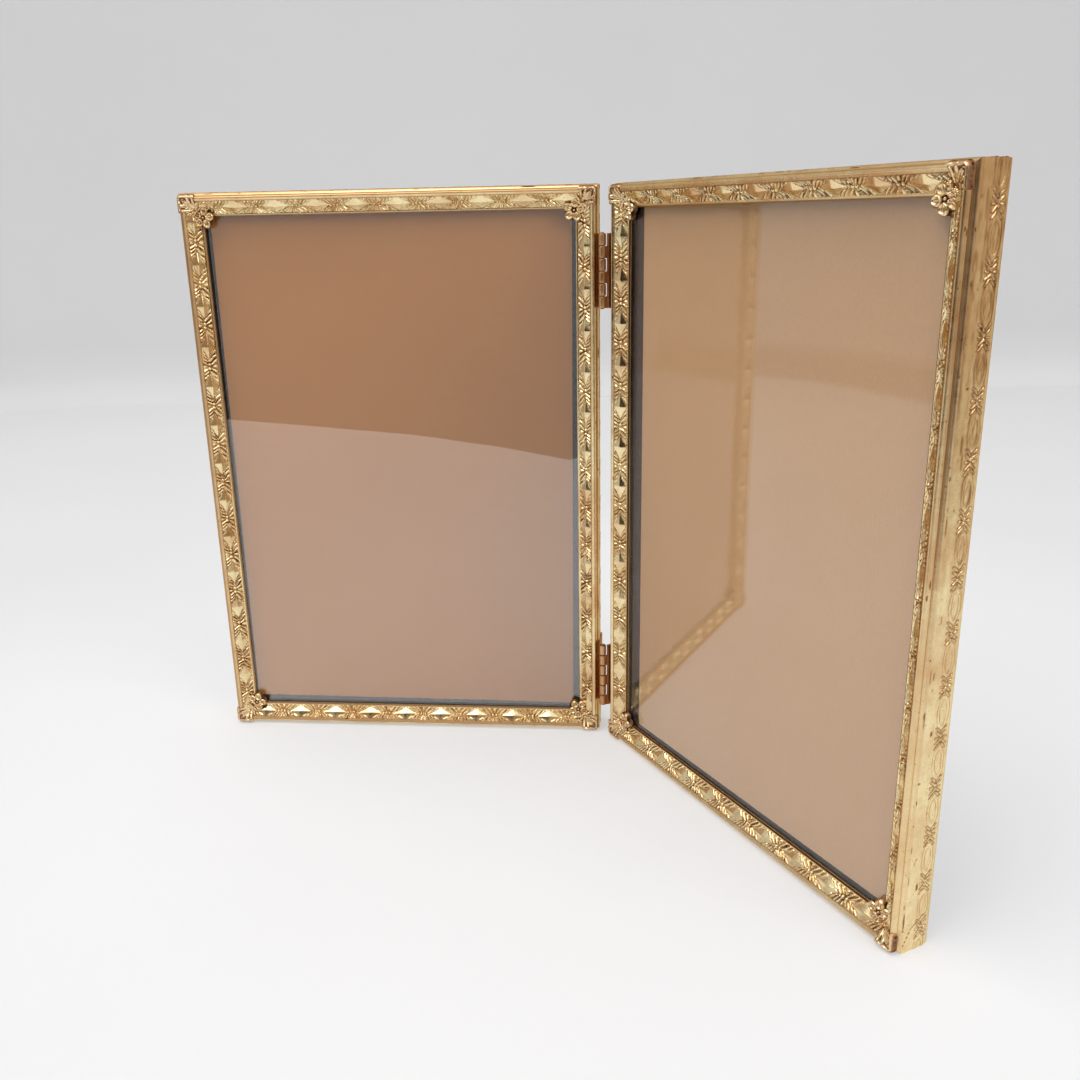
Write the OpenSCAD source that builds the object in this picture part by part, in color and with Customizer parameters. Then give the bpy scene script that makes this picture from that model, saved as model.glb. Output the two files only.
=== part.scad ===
// Hinged double photo frame: two gilt sheet-brass panels joined by two small
// butt hinges, standing open on a table like a book.
//
// Each panel is drawn lying in its own frame: X runs from the hinge side out,
// Y runs from the front face back, Z is up. The two panels are then turned
// about the hinge pins. The whole frame stands on Z = 0, centred on X and Y.

/* [Panel] */
// Width of one panel over its side walls
panel_w = 134.8; // [110:0.1:220]
// Height of one panel
panel_h = 187; // [150:0.5:300]
// Depth of one panel from the crest of the moulding to the back edge
panel_t = 11.6; // [10.8:0.1:16]
// Angle between the two front faces as the frame stands
open_angle = 123; // [60:1:170]

/* [Moulding] */
// Thickness of the rolled sheet
sheet = 0.6; // [0.4:0.05:0.7]
// From the side wall to the sight edge
face_w = 7.25; // [6.4:0.05:9]
// Depth of the back of the sight edge, where the glass rests
sight_depth = 3.95; // [3.6:0.05:4.3]
// Thickness of the sight edge itself
sight_edge = 0.5; // [0.3:0.05:0.6]
// Width of the plain rim along the sight edge
rim_w = 0.85; // [0.5:0.05:1.2]
// Fall of the plain rim towards the sight edge
rim_fall = 0.3; // [0.1:0.05:0.4]
// How far the front moulding sits in from the side wall
lip_inset = 0.9; // [0.6:0.05:1.1]
// Radius of the crest of the front moulding
crest_r = 0.7; // [0.4:0.05:0.8]
// Width of the plain bevel inside the crest
bevel_w = 1.0; // [0.5:0.05:1.4]
// Fall of the plain bevel
bevel_fall = 0.6; // [0.3:0.05:0.8]
// Hollow of the ornamented slope below a straight line
scoop = 0.2; // [0:0.05:0.3]
// Depth at which the groove round the outside begins
groove_start = 1.4; // [1.1:0.05:1.6]
// Width of the groove
groove_w = 0.6; // [0.4:0.05:1.5]
// How much deeper than the front moulding's edge the groove is cut
groove_cut = 0.2; // [0.1:0.05:0.4]
// Radius on the front edge of the side wall
nose_r = 0.6; // [0.3:0.05:0.7]
// From the side wall to the wall of the pocket that holds the glass
rabbet_w = 3.5; // [3.1:0.05:4]
// How far the back flange lies in from the back edge
back_recess = 2.0; // [1.8:0.1:3]

/* [Glass, card and board] */
// Thickness of the glass
glass_t = 2.0; // [1.5:0.1:2.4]
// Room round the glass and the board in the pocket
pocket_gap = 0.5; // [0.2:0.05:1]
// Room between the sight edge and the glass
glass_seat = 0.05; // [0:0.01:0.1]
// Thickness of the insert card
card_t = 0.8; // [0.4:0.1:1.2]
// How much narrower than the pocket the card is cut
card_trim_w = 10.3; // [9.4:0.1:16]
// How much shorter than the pocket the card is cut
card_trim_h = 6.5; // [6.1:0.1:12]
// Shift of the left card from the middle, away from the hinge
left_card_out = 0.4; // [-2:0.1:3]
// Shift of the right card from the middle, away from the hinge
right_card_out = 4.0; // [-2:0.1:4.2]
// Shift of the left card up from the middle
left_card_up = 2.25; // [0:0.05:2.4]
// Shift of the right card up from the middle
right_card_up = 1.7; // [0:0.05:2.4]
// Lean of the left card, its head towards the hinge
left_card_lean = 0.4; // [0:0.1:0.8]

/* [Hinges] */
// Radius of the hinge pin
pin_r = 0.55; // [0.4:0.05:0.7]
// Outer radius of the knuckles
knuckle_r = 1.15; // [1.05:0.05:1.15]
// Length of one knuckle
knuckle_len = 3.75; // [3:0.05:5]
// Number of knuckles in a hinge, shared by its two leaves
knuckle_count = 6; // [4:2:8]
// Room between neighbouring knuckles
knuckle_gap = 0.06; // [0.04:0.01:0.2]
// Radial room between the pin and the knuckles that turn on it
pin_play = 0.05; // [0.02:0.01:0.08]
// Radial room between the pin and the knuckles that hold it
pin_grip = 0.01; // [0.01:0.005:0.015]
// How far the pin stands out of the end knuckles
pin_stand = 0.25; // [0.1:0.05:0.6]
// Thickness of a hinge leaf
leaf_t = 0.8; // [0.5:0.05:0.9]
// Depth of the back edge of a leaf behind the front face
leaf_back = 10.0; // [7:0.1:10.6]
// Room between a leaf and the other leaf's knuckles
leaf_relief = 0.2; // [0.15:0.05:0.4]
// Distance of the pin in front of the front faces
pin_ahead = 1.45; // [1.4:0.05:2.5]
// Distance of the pin from each side wall
pin_aside = 1.25; // [1.2:0.05:2]
// From the top edge down to the middle of the upper hinge
upper_hinge_drop = 26; // [20:0.5:50]
// From the bottom edge up to the middle of the lower hinge
lower_hinge_rise = 23; // [20:0.5:50]

/* [Turn buttons] */
// Length of a turn button from end to end
button_len = 12; // [8:0.5:18]
// Width of a turn button
button_w = 2.3; // [1.8:0.1:2.3]
// Thickness of a turn button
button_t = 0.6; // [0.4:0.05:0.8]
// Room above and below a turn button on its rivet
button_play = 0.05; // [0.03:0.01:0.1]
// Radius of a rivet's shank
rivet_r = 0.5; // [0.35:0.05:0.6]
// Radial room between a turn button and its rivet
rivet_play = 0.05; // [0.03:0.01:0.08]
// Radius of a rivet's head
rivet_head_r = 0.95; // [0.8:0.05:1.1]
// Height of a rivet's head
rivet_head_t = 0.45; // [0.3:0.05:0.5]

/* [Corner ornaments] */
// Size of the square leaf over the corner
leaf_size = 6.2; // [5.6:0.1:6.6]
// How far the square leaf lies in from the side walls
leaf_inset = 0.3; // [0.2:0.05:0.5]
// How far the square leaf stands in front of the crest
leaf_proud = 0.8; // [0.5:0.05:1.1]
// Number of lobes along each inner edge of the square leaf
leaf_lobes = 3; // [2:1:4]
// Depth of the notches between the lobes
leaf_notch = 0.6; // [0.3:0.05:1]
// Thickness of the casting on the slope of the moulding
cast_t = 0.9; // [0.6:0.05:1.1]
// Middle of the flower from each side wall
flower_at = 7.8; // [7.2:0.1:8.4]
// Radius of the flower over its petals
flower_r = 3.5; // [2.8:0.1:4]
// Number of petals
petals = 5; // [4:1:7]
// Depth of the notches between the petals
petal_notch = 1.2; // [0.6:0.1:1.6]
// Depth of the front of the petals
petal_front = 1.5; // [1.2:0.05:1.9]
// Radius of the flower's eye
eye_r = 1.15; // [0.8:0.05:1.4]
// How far the eye stands in front of the petals
eye_rise = 0.7; // [0.4:0.05:0.9]
// Length of the narrow leaves beside the flower
spray_len = 5.0; // [4:0.1:6]
// Width of the narrow leaves beside the flower
spray_w = 1.7; // [1.2:0.1:2]

/* [Hidden] */
$fn = 48;

// Cuts run this far past the faces they open
past = 1;
// Steps in the rounded and hollow stretches of the moulding
arc_steps = 6;

gilt = [0.83, 0.69, 0.38];
antique = [0.66, 0.50, 0.27];
hinge_brass = [0.72, 0.56, 0.30];
pin_steel = [0.55, 0.50, 0.42];
kraft = [0.70, 0.52, 0.40];
board_grey = [0.27, 0.25, 0.27];
pane = [0.80, 0.88, 0.90, 0.35];

// Places across the moulding, measured in from the side wall
crest_at = lip_inset + crest_r;
bevel_at = crest_at + bevel_w;
rim_at = face_w - rim_w;
groove_floor = lip_inset + groove_cut;
groove_back = groove_start + groove_w;

// Depths behind the front face
sight_front = sight_depth - sight_edge;
rim_front = sight_front - rim_fall;
flange_back = panel_t - back_recess;
flange_front = flange_back - sheet;
glass_front = sight_depth + glass_seat;
card_front = glass_front + glass_t;
board_front = card_front + card_t;

// Depth of the ornamented slope at a place across the moulding
function slope_share(w) = (w - bevel_at) / (rim_at - bevel_at);
function slope_depth(w) =
  bevel_fall + (rim_front - bevel_fall) * slope_share(w) + scoop * sin(180 * slope_share(w));
// Thickness of the sheet on the slope, measured straight back
slope_sheet = sheet / cos(atan2(rim_front - bevel_fall, rim_at - bevel_at));

// Points on an arc, both ends included
function arc_points(centre, r, from, to) = [
  for (i = [0 : arc_steps])
    centre + r * [cos(from + (to - from) * i / arc_steps), sin(from + (to - from) * i / arc_steps)]
];
// Points down the slope from one place across the moulding to another
function slope_points(from, to, back) = [
  for (i = [0 : arc_steps])
    let (w = from + (to - from) * i / arc_steps) [slope_depth(w) + back, w]
];

// The shaped front of the moulding, from the sight edge to the side wall
front_outline = concat(
  [[sight_front, face_w]],
  slope_points(rim_at, bevel_at, 0),
  arc_points([crest_r, crest_at], crest_r, 180, 270),
  [[groove_start, lip_inset], [groove_start + groove_cut, groove_floor], [groove_back, groove_floor]],
  arc_points([groove_back + nose_r, nose_r], nose_r, 180, 270)
);

// Backs of the corner castings: the hooked rim, and the flower beside the sight edge
hook_back = (crest_r + groove_start) / 2;
flower_back = sight_front + sight_edge / 2;

// The pocket for the glass, and what lies in it
pocket_w = panel_w - 2 * rabbet_w;
pocket_h = panel_h - 2 * rabbet_w;
glass_w = pocket_w - 2 * pocket_gap;
glass_h = pocket_h - 2 * pocket_gap;
card_w = pocket_w - card_trim_w;
card_h = pocket_h - card_trim_h;
board_t = flange_back - board_front;

// Turn buttons pivot on the middle of the back flange
pivot_at = (sheet + rabbet_w) / 2;
button_front = flange_back + button_play;
head_front = button_front + button_t + button_play;
tail_r = min(rivet_head_r, rabbet_w - sheet - pivot_at - button_play);

// Hinges
hinge_len = knuckle_count * knuckle_len + (knuckle_count - 1) * knuckle_gap;
knuckle_step = knuckle_len + knuckle_gap;
leaf_start = knuckle_r + leaf_relief;
upper_hinge_z = panel_h - upper_hinge_drop;
lower_hinge_z = lower_hinge_rise;

// Half of what the panels are turned forward from lying flat
splay = (180 - open_angle) / 2;
// The frame's foremost and rearmost points, seen from the pins, centre it on Y
foremost = (pin_ahead - leaf_proud) * cos(splay) - (pin_aside + panel_w - leaf_inset) * sin(splay);
rearmost = (pin_ahead + panel_t) * cos(splay) - pin_aside * sin(splay);
pin_y = -(foremost + rearmost) / 2;

// Turns the right panel about the pins to where it stands
module right_panel() {
  translate([0, pin_y, 0])
    rotate([0, 0, -splay])
      translate([pin_aside, pin_ahead, 0])
        children();
}
// The left panel is the right one's mirror image
module left_panel() {
  mirror([1, 0, 0]) right_panel() children();
}

// The four sides of a panel: along X, depth on Y, inwards on Z to begin with
module at_bottom() { children(); }
module at_top() { translate([0, 0, panel_h]) mirror([0, 0, 1]) children(); }
module at_hinge_side() { mirror([1, 0, -1]) children(); }
module at_outer_side() { translate([panel_w, 0, 0]) mirror([1, 0, 0]) mirror([1, 0, -1]) children(); }

// The four corners of a panel, seen from the lower hinge corner
module at_corner(outer, top) {
  translate([outer ? panel_w : 0, 0, top ? panel_h : 0])
    mirror([outer ? 1 : 0, 0, 0])
      mirror([0, 0, top ? 1 : 0])
        children();
}

// A straight length of any section, given as depth and distance inwards
module length_of(section, length) {
  rotate([90, 0, 90]) linear_extrude(length) polygon(section);
}

// Keeps what lies between two mitres
module mitred(length, reach) {
  intersection() {
    children();
    translate([0, panel_t + past, 0])
      rotate([90, 0, 0])
        linear_extrude(panel_t + 2 * past + leaf_proud)
          polygon([[0, 0], [length, 0], [length - reach, reach], [reach, reach]]);
  }
}

// Box section rolled from one strip of sheet, with the pocket for the glass
module rail_section() {
  difference() {
    polygon(concat(
      front_outline,
      [[panel_t, 0], [panel_t, sheet], [flange_back, sheet], [flange_back, rabbet_w]],
      slope_points(rabbet_w, rim_at, slope_sheet),
      [[sight_depth, rim_at], [sight_depth, face_w]]
    ));
    polygon([
      [groove_back + sheet, sheet],
      [flange_front, sheet],
      [flange_front, rabbet_w - sheet],
      [slope_depth(rabbet_w - sheet) + slope_sheet, rabbet_w - sheet],
      [bevel_fall + slope_sheet, bevel_at],
      [slope_sheet + bevel_fall / 2, groove_floor + sheet],
      [groove_back + sheet, groove_floor + sheet]
    ]);
  }
}

// One mitred side of a panel, with its rivet hole for the turn button
module rail(length) {
  color(gilt)
    difference() {
      mitred(length, face_w + past)
        rotate([90, 0, 90]) linear_extrude(length) rail_section();
      translate([length / 2, flange_front - past / 2, pivot_at])
        rotate([-90, 0, 0]) cylinder(h = sheet + past, r = rivet_r);
    }
}

// Any section run round one corner, its two halves meeting at the mitre
module round_corner(section) {
  reach = 2 * flower_at;
  for (swap = [0, 1])
    mirror([swap, 0, -swap])
      mitred(3 * reach, reach) length_of(section, 3 * reach);
}

// What a corner casting is laid on: the outer shape of both sides that meet there
module corner_bed() {
  round_corner(concat(front_outline, [[panel_t, 0], [panel_t, face_w]]));
}

// Metal that follows the moulding round the corner, with its back in the bed
// and a rim hooked over the front moulding's outer face
module cast_blanket() {
  round_corner([
    [-leaf_proud, leaf_inset],
    [-leaf_proud, bevel_at],
    [rim_front - cast_t, rim_at],
    [sight_front - cast_t, 2 * flower_at],
    [sight_front, 2 * flower_at],
    [sight_front, rim_at],
    [hook_back, bevel_at],
    [hook_back, leaf_inset]
  ]);
}

// Outline of the square leaf, with lobes along its two inner edges
module square_leaf_outline() {
  heart = leaf_size - leaf_notch;
  steps = 8 * leaf_lobes;
  edge = [
    for (i = [0 : steps])
      [leaf_size - leaf_notch * (1 - abs(sin(180 * leaf_lobes * i / steps))), heart * i / steps]
  ];
  other_edge = [for (i = [steps - 1 : -1 : 0]) [edge[i][1], edge[i][0]]];
  polygon(concat([[0, 0]], edge, other_edge));
}

// Outline of a narrow leaf, pointed at both ends, lying along X
module spray_outline() {
  polygon(concat(
    [for (i = [0 : arc_steps]) spray_point(i / arc_steps, 1)],
    [for (i = [1 : arc_steps - 1]) spray_point(1 - i / arc_steps, -1)]
  ));
}
function spray_point(share, side) = [spray_len * (share - 0.5), side * spray_w / 2 * sin(180 * share)];

// Outline of the flower, one round lobe for each petal
module flower_outline() {
  steps = 2 * arc_steps * petals;
  polygon([
    for (i = [0 : steps - 1])
      let (r = flower_r - petal_notch * (1 - abs(cos(180 * petals * i / steps))))
        r * [cos(360 * i / steps), sin(360 * i / steps)]
  ]);
}

// Flower over the corner of the sight edge, with its back in the bed
module flower() {
  translate([flower_at, 0, flower_at]) rotate([-90, 0, 0]) rotate([0, 0, -45]) {
    translate([0, 0, petal_front])
      linear_extrude(flower_back - petal_front) flower_outline();
    translate([0, 0, petal_front - eye_rise])
      cylinder(h = 2 * eye_rise, r = eye_r);
  }
}

// Cast ornament over one corner: a square leaf, two narrow leaves and a flower
module corner_ornament() {
  spray_at = leaf_size + spray_len / 2 - past / 2;
  spray_in = flower_at / 2;
  color(antique)
    difference() {
      union() {
        intersection() {
          cast_blanket();
          translate([0, panel_t, 0]) rotate([90, 0, 0]) linear_extrude(2 * panel_t) {
            square_leaf_outline();
            for (swap = [0, 1])
              mirror([swap, -swap])
                translate([spray_at, spray_in]) rotate(16) spray_outline();
          }
        }
        flower();
      }
      corner_bed();
    }
}

module glass() {
  color(pane)
    translate([rabbet_w + pocket_gap, glass_front, rabbet_w + pocket_gap])
      cube([glass_w, glass_t, glass_h]);
}

// A loose card behind the glass, cut smaller than the pocket
module insert_card(out, up, lean) {
  color(kraft)
    translate([panel_w / 2 + out, card_front, panel_h / 2 + up])
      rotate([0, -lean, 0])
        translate([-card_w / 2, 0, -card_h / 2])
          cube([card_w, card_t, card_h]);
}

module backing_board() {
  color(board_grey)
    translate([rabbet_w + pocket_gap, board_front, rabbet_w + pocket_gap])
      cube([glass_w, board_t, glass_h]);
}

// Flat strip with round ends, pivoted near its outer end
module turn_button(length) {
  color(hinge_brass)
    translate([length / 2, button_front, pivot_at])
      rotate([-90, 0, 0])
        linear_extrude(button_t)
          difference() {
            union() {
              circle(button_w / 2);
              translate([0, button_w - button_len]) circle(button_w / 2);
              translate([-button_w / 2, button_w - button_len])
                square([button_w, button_len - button_w]);
            }
            circle(rivet_r + rivet_play);
          }
}

// Rivet through the back flange: low domed head, shank and flattened tail
module button_rivet(length) {
  color(hinge_brass)
    translate([length / 2, 0, pivot_at])
      rotate([-90, 0, 0]) {
        translate([0, 0, flange_front - sheet])
          cylinder(h = sheet, r = tail_r);
        translate([0, 0, flange_front - sheet / 2])
          cylinder(h = head_front - flange_front + sheet, r = rivet_r);
        rotate_extrude()
          polygon([
            [0, head_front],
            [rivet_head_r, head_front],
            [rivet_head_r, head_front + rivet_head_t / 3],
            [rivet_head_r * 0.7, head_front + rivet_head_t * 0.85],
            [0, head_front + rivet_head_t]
          ]);
      }
}

module button_rivets() {
  at_bottom() button_rivet(panel_w);
  at_top() button_rivet(panel_w);
  at_hinge_side() button_rivet(panel_h);
  at_outer_side() button_rivet(panel_h);
}

// One leaf of a butt hinge: a plate on the side wall and every second knuckle.
// first is 0 for the leaf that has the top knuckle, 1 for the other.
module hinge_leaf(middle, first) {
  bore_r = pin_r + (first == 0 ? pin_grip : pin_play);
  top = middle + hinge_len / 2;
  color(hinge_brass)
    difference() {
      union() {
        translate([-leaf_t, leaf_start - pin_ahead, middle - hinge_len / 2])
          cube([leaf_t, leaf_back - leaf_start + pin_ahead, hinge_len]);
        for (i = [first : 2 : knuckle_count - 1])
          translate([0, 0, top - i * knuckle_step - knuckle_len]) {
            translate([-pin_aside, -pin_ahead, 0])
              cylinder(h = knuckle_len, r = knuckle_r);
            translate([-leaf_t, -pin_ahead, 0])
              cube([leaf_t, leaf_start, knuckle_len]);
          }
      }
      translate([-pin_aside, -pin_ahead, middle - hinge_len])
        cylinder(h = 2 * hinge_len, r = bore_r);
    }
}

// Straight pin, cut off just proud of the end knuckles
module hinge_pin(middle) {
  color(pin_steel)
    translate([0, pin_y, middle - hinge_len / 2 - pin_stand])
      cylinder(h = hinge_len + 2 * pin_stand, r = pin_r);
}

// Left panel
left_panel() at_top() rail(panel_w);  // left_top_rail
left_panel() at_bottom() rail(panel_w);  // left_bottom_rail
left_panel() at_hinge_side() rail(panel_h);  // left_hinge_stile
left_panel() at_outer_side() rail(panel_h);  // left_outer_stile
left_panel() at_corner(false, true) corner_ornament();  // left_top_hinge_ornament
left_panel() at_corner(false, false) corner_ornament();  // left_bottom_hinge_ornament
left_panel() at_corner(true, true) corner_ornament();  // left_top_outer_ornament
left_panel() at_corner(true, false) corner_ornament();  // left_bottom_outer_ornament
left_panel() glass();  // left_glass
left_panel() insert_card(left_card_out, left_card_up, left_card_lean);  // left_insert_card
left_panel() backing_board();  // left_backing_board
left_panel() button_rivets();  // left_button_rivets
left_panel() at_top() turn_button(panel_w);  // left_top_button
left_panel() at_bottom() turn_button(panel_w);  // left_bottom_button
left_panel() at_hinge_side() turn_button(panel_h);  // left_hinge_side_button
left_panel() at_outer_side() turn_button(panel_h);  // left_outer_side_button
left_panel() hinge_leaf(upper_hinge_z, 0);  // left_upper_hinge_leaf
left_panel() hinge_leaf(lower_hinge_z, 0);  // left_lower_hinge_leaf

// Hinge pins, held by the left leaves
hinge_pin(upper_hinge_z);  // upper_hinge_pin
hinge_pin(lower_hinge_z);  // lower_hinge_pin

// Right panel
right_panel() at_top() rail(panel_w);  // right_top_rail
right_panel() at_bottom() rail(panel_w);  // right_bottom_rail
right_panel() at_hinge_side() rail(panel_h);  // right_hinge_stile
right_panel() at_outer_side() rail(panel_h);  // right_outer_stile
right_panel() at_corner(false, true) corner_ornament();  // right_top_hinge_ornament
right_panel() at_corner(false, false) corner_ornament();  // right_bottom_hinge_ornament
right_panel() at_corner(true, true) corner_ornament();  // right_top_outer_ornament
right_panel() at_corner(true, false) corner_ornament();  // right_bottom_outer_ornament
right_panel() glass();  // right_glass
right_panel() insert_card(right_card_out, right_card_up, 0);  // right_insert_card
right_panel() backing_board();  // right_backing_board
right_panel() button_rivets();  // right_button_rivets
right_panel() at_top() turn_button(panel_w);  // right_top_button
right_panel() at_bottom() turn_button(panel_w);  // right_bottom_button
right_panel() at_hinge_side() turn_button(panel_h);  // right_hinge_side_button
right_panel() at_outer_side() turn_button(panel_h);  // right_outer_side_button
right_panel() hinge_leaf(upper_hinge_z, 1);  // right_upper_hinge_leaf
right_panel() hinge_leaf(lower_hinge_z, 1);  // right_lower_hinge_leaf
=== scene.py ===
# Hinged double photo frame: gilt stamped moulding, cast corners, glass, kraft cards.
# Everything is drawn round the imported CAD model, in millimetres until a mesh is made.
from math import cos, pi, radians, sin

import bmesh
import bpy
import numpy as np
from mathutils import Matrix, Vector


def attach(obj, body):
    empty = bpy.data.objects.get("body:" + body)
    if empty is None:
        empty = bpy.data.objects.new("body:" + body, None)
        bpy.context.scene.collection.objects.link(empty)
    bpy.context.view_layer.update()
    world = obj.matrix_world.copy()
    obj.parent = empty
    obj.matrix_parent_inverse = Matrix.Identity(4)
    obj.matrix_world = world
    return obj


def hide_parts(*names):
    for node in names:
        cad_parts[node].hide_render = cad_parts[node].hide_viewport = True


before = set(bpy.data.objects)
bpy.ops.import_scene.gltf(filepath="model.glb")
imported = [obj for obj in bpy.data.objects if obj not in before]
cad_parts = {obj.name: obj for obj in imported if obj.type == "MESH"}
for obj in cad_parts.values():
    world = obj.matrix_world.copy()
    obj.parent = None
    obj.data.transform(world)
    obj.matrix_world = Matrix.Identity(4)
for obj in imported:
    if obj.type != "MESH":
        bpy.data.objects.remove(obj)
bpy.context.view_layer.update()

# Panel sizes, as in the CAD model
PANEL_W = 134.8
PANEL_H = 187.0
PANEL_T = 11.6
SPLAY = radians(28.5)
PIN_ASIDE = 1.25
PIN_AHEAD = 1.45
PIN_Y = 26.665478

# Moulding, as (depth, distance in from the side wall)
SHEET = 0.6
FACE_W = 7.25
RIM_AT = 6.4
BEVEL_AT = 2.6
CREST_AT = 1.75
CREST_DEPTH = 1.4
CREST_W = 0.85
BEVEL_FALL = 0.6
RIM_FRONT = 3.15
SIGHT_FRONT = 3.45
SIGHT_BACK = 3.95
SCOOP = 0.2
LIP_INSET = 0.9
GROOVE_AT = 1.75
WALL_FROM = 2.85
FOLD_DEEP = 1.5
FOLD_WIDE = 0.45
SLOPE_RUN = 4.58
RABBET_W = 3.5
FLANGE_BACK = 9.6
SLOPE_SHEET = 0.7226

# Stamped pattern: lozenges in a row, with a pair of beads half way between them
LOZENGE_L = 3.75
LOZENGE_W = 1.62
LOZENGE_RISE = 0.56
PATTERN_AT = 4.32
PATTERN_TO = 6.55
SIDE_PATTERN_AT = 8.3
SIDE_PATTERN_HALF = 2.3
SIDE_PLAIN_TO = 6.2
SEAM_DEEP = 0.14
DOT_DEEP = 0.10
# Spacing of the moulding's points
ALONG_STEP = 0.19
ACROSS_STEP = 0.16

SIDES = ("left", "right")


def to_row(side, x, b, z):
    """Panel-local points (from the hinge side, back from the front, up) in the row frame, in metres."""
    across = np.asarray(x, float) + PIN_ASIDE
    back = np.asarray(b, float) + PIN_AHEAD
    row_x = cos(SPLAY) * across + sin(SPLAY) * back
    row_y = PIN_Y - sin(SPLAY) * across + cos(SPLAY) * back
    if side == "left":
        row_x = -row_x
    return np.stack([row_x, row_y, np.broadcast_to(z, row_x.shape)], axis=-1) * 0.001


def on_rail(place, s, b, w):
    """Rail-local points (along, depth, in from the side wall) in the panel's frame."""
    if place == "bottom":
        return s, b, w
    if place == "top":
        return s, b, PANEL_H - w
    if place == "hinge":
        return w, b, s
    return PANEL_W - w, b, s


def in_scene(name, data):
    """A new object, linked into the scene."""
    made = bpy.data.objects.new(name, data)
    bpy.context.scene.collection.objects.link(made)
    return made


def make_piece(name, points, faces, body, material, values=None, *, crease):
    """A mesh object that rides on a body, with the edges over crease degrees sharp.

    values are named numbers, one for each point.
    """
    mesh = bpy.data.meshes.new(name)
    mesh.from_pydata(points.tolist(), [], faces)
    mesh.polygons.foreach_set("use_smooth", [True] * len(mesh.polygons))
    for key, numbers in (values or {}).items():
        layer = mesh.attributes.new(key, "FLOAT", "POINT")
        layer.data.foreach_set("value", np.asarray(numbers, np.float32))
    mesh.materials.append(material)
    face_outwards(mesh)
    mesh.set_sharp_from_angle(angle=radians(crease))
    piece = in_scene(name, mesh)
    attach(piece, body)
    return piece


def face_outwards(mesh):
    """Turns every face of the closed shells in a mesh to the outside."""
    work = bmesh.new()
    work.from_mesh(mesh)
    bmesh.ops.recalc_face_normals(work, faces=work.faces)
    work.to_mesh(mesh)
    work.free()


def grid_faces(rows, columns, first=0, close_columns=False):
    """Quads of a grid of points stored row by row."""
    last = columns if close_columns else columns - 1
    i = np.arange(rows - 1)[:, None] * columns
    j = np.arange(last)[None, :]
    k = (j + 1) % columns
    quads = np.stack([i + j, i + k, i + columns + k, i + columns + j], axis=-1)
    return (quads.reshape(-1, 4) + first).tolist()


def smooth_step(value):
    """0 below 0, 1 above 1, and a soft rise between them."""
    value = np.clip(value, 0, 1)
    return value * value * (3 - 2 * value)


def value_noise(x, y, seed):
    """Soft noise, 0 to 1, the same each run."""
    table = np.random.default_rng(seed).random((64, 64))
    xi = np.floor(x).astype(int)
    yi = np.floor(y).astype(int)
    fx = smooth_step(x - xi)
    fy = smooth_step(y - yi)
    near = table[xi % 64, yi % 64] * (1 - fx) + table[(xi + 1) % 64, yi % 64] * fx
    far = table[xi % 64, (yi + 1) % 64] * (1 - fx) + table[(xi + 1) % 64, (yi + 1) % 64] * fx
    return near * (1 - fy) + far * fy


# The stamped pattern and the castings are heights over a surface, in millimetres,
# built from round-backed strokes and beads.
def stroke(x, y, course, rise):
    """A raised stroke. course holds (x, y, half width) along it."""
    height = np.zeros(np.broadcast(x, y).shape)
    for (x0, y0, r0), (x1, y1, r1) in zip(course, course[1:]):
        run_x, run_y = x1 - x0, y1 - y0
        share = ((x - x0) * run_x + (y - y0) * run_y) / (run_x ** 2 + run_y ** 2)
        share = np.clip(share, 0, 1)
        off = np.hypot(x - x0 - share * run_x, y - y0 - share * run_y)
        half = r0 + (r1 - r0) * share
        height = np.maximum(height, rise * np.clip(1 - (off / half) ** 2, 0, 1) ** 0.75)
    return height


def bead(x, y, at, radius, rise):
    """A raised half ball."""
    return rise * np.sqrt(np.clip(1 - ((x - at[0]) ** 2 + (y - at[1]) ** 2) / radius ** 2, 0, 1))


# Strokes of the spray as (from the bead pair, from the middle line, half width), and each one's rise
SPRAY = [
    ([(0.70, 0.52, 0.20), (1.15, 1.10, 0.34), (1.75, 1.70, 0.38), (2.40, 2.25, 0.24)], 0.50),
    ([(1.50, 0.28, 0.18), (2.35, 0.74, 0.34), (3.15, 1.30, 0.38), (3.85, 2.10, 0.24)], 0.50),
    ([(3.70, 0.72, 0.14), (4.40, 1.20, 0.30), (5.10, 1.95, 0.28)], 0.34),
    ([(0.72, -0.48, 0.20), (1.15, -0.98, 0.34), (1.60, -1.60, 0.24)], 0.50),
    ([(1.60, -0.36, 0.18), (2.20, -0.92, 0.33), (2.80, -1.58, 0.24)], 0.48),
    ([(2.75, -0.42, 0.16), (3.40, -0.98, 0.30), (4.00, -1.58, 0.20)], 0.42),
    ([(4.10, -0.84, 0.12), (4.80, -1.24, 0.26), (5.50, -1.56, 0.14)], 0.30),
    ([(0.0, 0.85, 0.22), (0.0, 1.45, 0.44), (0.0, 2.00, 0.34)], 0.40),
    ([(0.0, -0.90, 0.20), (0.0, -1.45, 0.32)], 0.38),
]


def soft_abs(value, rounding):
    """Size of a value, with the corner at 0 rounded."""
    return np.sqrt(value ** 2 + rounding ** 2) - rounding


def wandered(s, v):
    """Small uneven shifts, so that no two repeats of the hand-cut die look alike."""
    shift_s = 0.30 * (value_noise(s * 0.6, v * 0.6 + 20, 9) - 0.5)
    shift_v = 0.30 * (value_noise(s * 0.6, v * 0.6 + 50, 13) - 0.5)
    return shift_s, shift_v


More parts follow.
